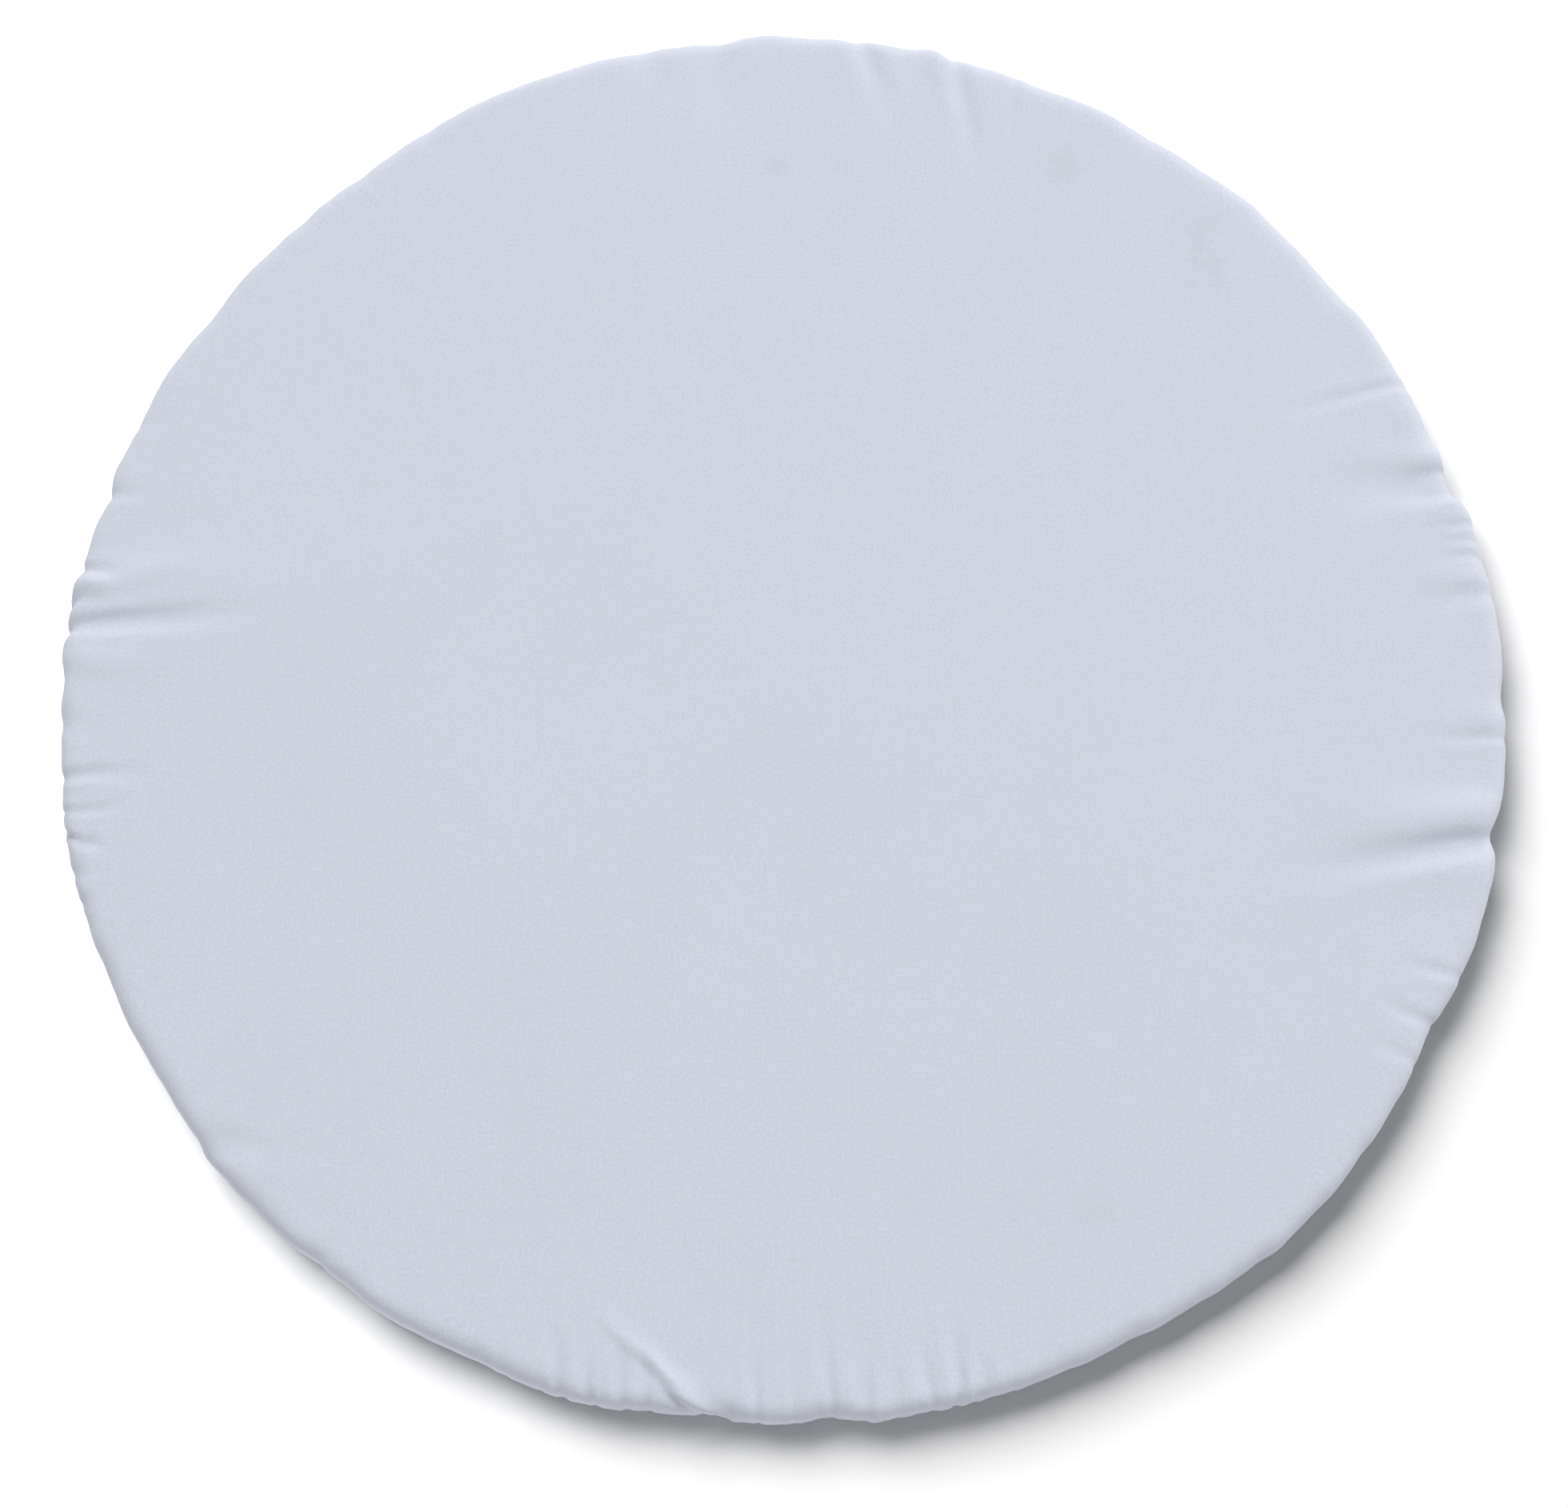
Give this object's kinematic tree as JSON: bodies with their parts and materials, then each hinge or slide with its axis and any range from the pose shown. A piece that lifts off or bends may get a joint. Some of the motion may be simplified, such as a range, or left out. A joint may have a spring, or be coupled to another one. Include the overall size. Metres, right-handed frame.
{
  "type": "collapsible backdrop panel",
  "caption": "Round collapsible backdrop panel: sprung hoop with a padded rim under a white elastic-hemmed slip cover; its wings fold face in, and two eyelet tabs hang it.",
  "frame": {"origin": "centre of the panel's back, on the surface that the panel lies on", "axes": "+Z is the way the white face looks, +Y points to the edge that hangs uppermost, the fold lines run along Y"},
  "size_m": [0.7998, 0.8, 0.03],
  "materials": {
    "white_cotton": "plain-weave cotton, matt, soft wrinkles",
    "elastic_cord": "braided elastic cord",
    "spring_steel": "blued spring band",
    "zinc_steel": "zinc plated, crimped",
    "tunnel_tape": "black woven binding tape",
    "foam": "grey closed-cell foam roll",
    "base_cloth": "white ripstop diffusion cloth",
    "patch_cloth": "black coated cloth",
    "webbing": "black ribbed webbing",
    "brass": "rolled brass eyelet, lightly worn",
    "label_satin": "blank woven satin label"
  },
  "bodies": {
    "middle_strip": {"cover_face_strip": "white_cotton", "cover_edge_strip": "white_cotton", "hem_casing_strip": "white_cotton", "hem_elastic_strip": "elastic_cord", "hoop_strip": "spring_steel", "tunnel_strip": "tunnel_tape", "rim_foam_strip": "foam", "base_cloth_strip": "base_cloth"},
    "left_wing": {"cover_face_left": "white_cotton", "cover_edge_left": "white_cotton", "hem_casing_left": "white_cotton", "hem_elastic_left": "elastic_cord", "elastic_crimp": "zinc_steel", "hoop_left": "spring_steel", "hoop_ferrule": "zinc_steel", "ferrule_rivets": "zinc_steel", "tunnel_left": "tunnel_tape", "rim_foam_left": "foam", "base_cloth_left": "base_cloth", "tab_patch_left": "patch_cloth", "tab_anchor_left": "webbing"},
    "right_wing": {"cover_face_right": "white_cotton", "cover_edge_right": "white_cotton", "hem_casing_right": "white_cotton", "hem_elastic_right": "elastic_cord", "hoop_right": "spring_steel", "tunnel_right": "tunnel_tape", "rim_foam_right": "foam", "base_cloth_right": "base_cloth", "tab_patch_right": "patch_cloth", "tab_anchor_right": "webbing", "blank_label": "label_satin"},
    "left_tab": {"tab_flap_left": "webbing", "eyelet_left": "brass", "eyelet_washer_left": "brass"},
    "right_tab": {"tab_flap_right": "webbing", "eyelet_right": "brass", "eyelet_washer_right": "brass"}
  },
  "joints": [
    {"name": "fold_left", "type": "hinge", "parent": "middle_strip", "child": "left_wing", "pos_m": [-0.045, 0, 0.03], "axis": [0, 1, 0], "range_deg": [0, 95], "stiffness_Nm_per_rad": 0.8},
    {"name": "fold_right", "type": "hinge", "parent": "middle_strip", "child": "right_wing", "pos_m": [0.045, 0, 0.03], "axis": [0, -1, 0], "range_deg": [0, 95], "stiffness_Nm_per_rad": 0.8},
    {"name": "tab_swing_left", "type": "hinge", "parent": "left_wing", "child": "left_tab", "pos_m": [-0.15, 0.24, 0.0123], "axis": [1, 0, 0], "range_deg": [-9, 120]},
    {"name": "tab_swing_right", "type": "hinge", "parent": "right_wing", "child": "right_tab", "pos_m": [0.15, 0.24, 0.0123], "axis": [1, 0, 0], "range_deg": [-9, 120]}
  ],
  "couplings": [
    {"joint": "fold_right", "follows": "fold_left", "ratio": 1}
  ]
}
